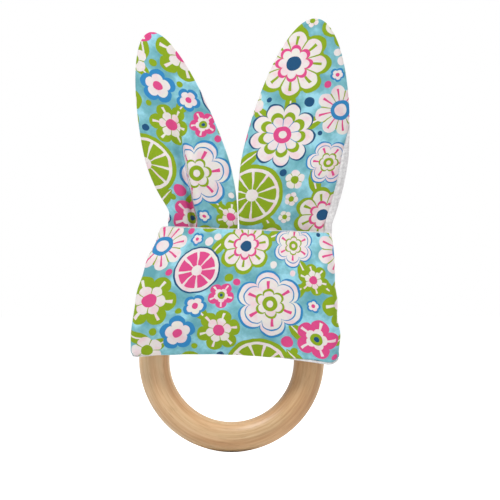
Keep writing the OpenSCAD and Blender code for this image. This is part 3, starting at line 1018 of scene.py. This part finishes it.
def make_cotton():
    material, tree = new_material("cotton_plain_woven_and_printed")
    flat = add(tree, "UVMap", uv_map="flat_cloth")
    shake = add(tree, "TexNoise", {"Vector": flat, "Scale": 1 / WOBBLE_SIZE, "Detail": 1})
    shake = add(tree, "VectorMath", [shake.outputs["Color"], (0.5, 0.5, 0.5)], operation="SUBTRACT")
    spot = add(tree, "VectorMath", [shake, (WOBBLE, WOBBLE, 0), flat], operation="MULTIPLY_ADD")
    wash = {"Vector": flat, "Scale": 1 / WASH_SIZE, "Detail": 4, "Roughness": 0.6}
    colour = add(tree, "ValToRGB", [add(tree, "TexNoise", wash)], stops=WASH_STOPS)
    brush = add(tree, "TexNoise", {"Vector": flat, "Scale": 1 / BRUSH_SIZE, "Detail": 2})
    pale = add(tree, "ValToRGB", [brush], stops=BRUSH_STOPS)
    for placed in leaves:
        colour = draw_leaf(tree, colour, spot, placed)
    for placed in motifs:
        colour = draw_motif(tree, colour, spot, placed, pale)
    part = add(tree, "SeparateXYZ", [flat])
    threads = []
    for way in (0, 1):
        wave = add(tree, "Math", [part.outputs[way], math.pi / WEAVE], operation="MULTIPLY")
        threads.append(add(tree, "Math", [wave], operation="SINE"))
    weave = add(tree, "Math", threads, operation="MULTIPLY")
    shade = add(tree, "MapRange", [weave, -1, 1, *WEAVE_SHADE])
    woven = add(tree, "Mix", [1, colour, shade], **MULTIPLY)
    ridges = add(tree, "Bump", {"Strength": 0.12, "Distance": 0.2 * MM, "Height": weave})
    # Plain cotton is matt, with a trace of sheen from its fibres
    surface = add(tree, "BsdfPrincipled", {
        "Base Color": woven, "Roughness": 0.85, "Normal": ridges, "Specular IOR Level": 0.25,
        "Sheen Weight": 0.05})
    add(tree, "OutputMaterial", [surface])
    print(material.name, len(tree.nodes), "nodes")
    return material


cotton = make_cotton()
for ply in (band_cotton, left.cotton, right.cotton):
    ply.data.materials.append(cotton)

# %% [markdown]
# ## White terry
# The back is cotton terry, woven with loops and left unshorn. Light gets lost between the loops, so the
# gaps look a little darker than the tops, and the loose fibres give it a soft edge.
# The loops are in the mesh, which also hands their height to the material. The material paints the gaps
# darker by that height, as painted shade, and adds the yarns that the mesh is too coarse for.

# %% Terry
# Thickness of a yarn and size of the paler and darker patches, in mm
YARN = 0.45
PATCH_SIZE = 6
# Painted shade: the gaps between the loops darker and the loop tops paler
LOOP_SHADE_STOPS = [(0.05, "#DEDCDD"), (0.5, "#EFEEEE"), (0.95, "#F8F7F7")]
YARN_STOPS = [(0.15, "#FFFFFF"), (0.8, "#ECEBEC")]
PATCH_STOPS = [(0.35, "#F6F5F5"), (0.65, "#FFFFFF")]


def make_terry():
    material, tree = new_material("cotton_terry_woven_with_loops")
    flat = add(tree, "UVMap", uv_map="flat_cloth")
    yarns = add(tree, "TexVoronoi", {"Vector": flat, "Scale": 1 / YARN, "Randomness": 0.9})
    tone = add(tree, "TexNoise", {"Vector": flat, "Scale": 1 / PATCH_SIZE, "Detail": 2})
    height = add(tree, "Attribute", attribute_name="loop_height").outputs["Fac"]
    # Painted shade between the loops, from their height
    loops = add(tree, "ValToRGB", [height], stops=LOOP_SHADE_STOPS)
    strands = add(tree, "ValToRGB", [yarns], stops=YARN_STOPS)
    patches = add(tree, "ValToRGB", [tone], stops=PATCH_STOPS)
    colour = add(tree, "Mix", [1, loops, strands], **MULTIPLY)
    colour = add(tree, "Mix", [1, colour, patches], **MULTIPLY)
    fuzz = add(tree, "Bump", {"Strength": 0.5, "Distance": 0.3 * MM, "Height": yarns}, invert=True)
    # Loose loops hardly shine, but their fibres catch light at a glancing angle
    surface = add(tree, "BsdfPrincipled", {
        "Base Color": colour, "Roughness": 0.95, "Normal": fuzz, "Specular IOR Level": 0.2,
        "Sheen Weight": 0.25, "Sheen Roughness": 0.5})
    add(tree, "OutputMaterial", [surface])
    print(material.name, len(tree.nodes), "nodes")
    return material


terry = make_terry()
for ply in (band_terry, left.terry, right.terry):
    ply.data.materials.append(terry)

# %% [markdown]
# ## Holding the cloth to the model
# The band rides on the wrap. Each ear with its leg stays where it was built, and the frame's cloth
# pieces that the plies replace are hidden.

band_plies = [
    (band_cotton, "band_print", "printed_cotton"),
    (band_terry, "band_terry", "white_terry"),
]
for ply, node, slot in band_plies:
    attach(ply, "wrap")
    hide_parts(node)

for ear in (left, right):
    ear_plies = [(ear.cotton, "print", "printed_cotton"), (ear.terry, "terry", "white_terry")]
    for ply, node, slot in ear_plies:
        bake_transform(ply)
        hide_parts(f"{ear.name}_leg_{node}", f"{ear.name}_ear_{node}")
print("plies held:", len(band_plies) + 2 * len(ear_plies))

# %% [markdown]
# ## Floor, light and camera
# The picture is a plain product shot on white. A floor of white card keeps the object's shadow, and
# what the camera sees of it and of the surroundings is lifted to white by the light path alone, so no
# extra light falls on the object.

# %% Floor
FLOOR_SIDE = 8.0
CARD_WHITE = "#F2F2F2"
# Glow that lifts the lit card to white for the camera
CARD_LIFT = 0.76


def make_card():
    material, tree = new_material("matt_white_card")
    path = add(tree, "LightPath")
    card = add(tree, "BsdfDiffuse", {"Color": paint(CARD_WHITE)})
    seen = add(tree, "Math", [path.outputs["Is Camera Ray"], CARD_LIFT], operation="MULTIPLY")
    glow = add(tree, "Emission", {"Strength": seen})
    both = add(tree, "AddShader", [card, glow])
    add(tree, "OutputMaterial", [both])
    return material


side = FLOOR_SIDE / 2
level = ring_low.z
corners = [(-side, -side, level), (side, -side, level), (side, side, level), (-side, side, level)]
card_mesh = bpy.data.meshes.new("floor_card")
card_mesh.from_pydata(corners, [], [(0, 1, 2, 3)])
card_mesh.materials.append(make_card())
floor = put_in_scene("floor_card", card_mesh)
print("floor at", round(level / MM, 2), "mm")

# %% Surroundings
# Light that the surroundings give the object, where 1 is the white that the camera sees
AMBIENT = 0.29
world = bpy.data.worlds.new("white_studio")
scene.world = world
world.use_nodes = True
tree = world.node_tree
tree.nodes.clear()
seen_by = add(tree, "LightPath").outputs
seen = add(tree, "Math", [seen_by["Is Camera Ray"], seen_by["Is Glossy Ray"]], operation="MAXIMUM")
seen = add(tree, "Math", [seen, seen_by["Is Transmission Ray"]], operation="MAXIMUM")
level_of_light = add(tree, "MapRange", [seen, 0, 1, AMBIENT, 1])
sky = add(tree, "Background", {"Color": (1, 1, 1, 1), "Strength": level_of_light})
add(tree, "OutputWorld", [sky])
print(world.name, len(tree.nodes), "nodes")

# %% [markdown]
# One strong lamp stands high in front on the left and shapes the ring and the folds. A weak one on the
# right opens the shade, and one behind lights the terry. A single large lamp would flatten the folds.

# %% Lamps
# Name, place and side in metres, watts
LAMPS = [
    ("key_lamp", (-0.45, -0.65, 1.15), 0.4, 12.8),
    ("fill_lamp", (0.85, -0.75, 0.35), 0.8, 1.4),
    ("back_lamp", (0.75, 0.8, 0.75), 0.45, 12.0),
]
# The lamp behind isn't mirrored in the pieces, or it would flare along the ring's inner edge
NOT_MIRRORED = "back_lamp"
LAMP_AIM = Vector((0, 0, 0.04))
for name, place, size, watts in LAMPS:
    data = bpy.data.lights.new(name, "AREA")
    data.size = size
    data.energy = watts
    lamp = put_in_scene(name, data)
    lamp.location = place
    lamp.rotation_euler = (LAMP_AIM - lamp.location).to_track_quat("-Z", "Y").to_euler()
    lamp.visible_glossy = name != NOT_MIRRORED
    print(f"{name}: {watts} W")

# %% [markdown]
# The camera looks straight at the front from a good way off, so near and far edges keep their size.
# Its lens is worked out from the width that it has to show at the ring.

# %% Camera
# Width shown at the ring, distance from it, and where the middle of the picture lies, in metres
SEEN_WIDTH = 0.1892
CAMERA_FAR = 2.0
CAMERA_X, CAMERA_Z = 0.00696, 0.04147
data = bpy.data.cameras.new("photo_camera")
data.sensor_width = 36
data.lens = data.sensor_width * CAMERA_FAR / SEEN_WIDTH
data.clip_end = 20
camera = put_in_scene("photo_camera", data)
camera.location = (CAMERA_X, -CAMERA_FAR, CAMERA_Z)
camera.rotation_euler = (math.pi / 2, 0, 0)
scene.camera = camera
print(f"lens {data.lens:.0f} mm")
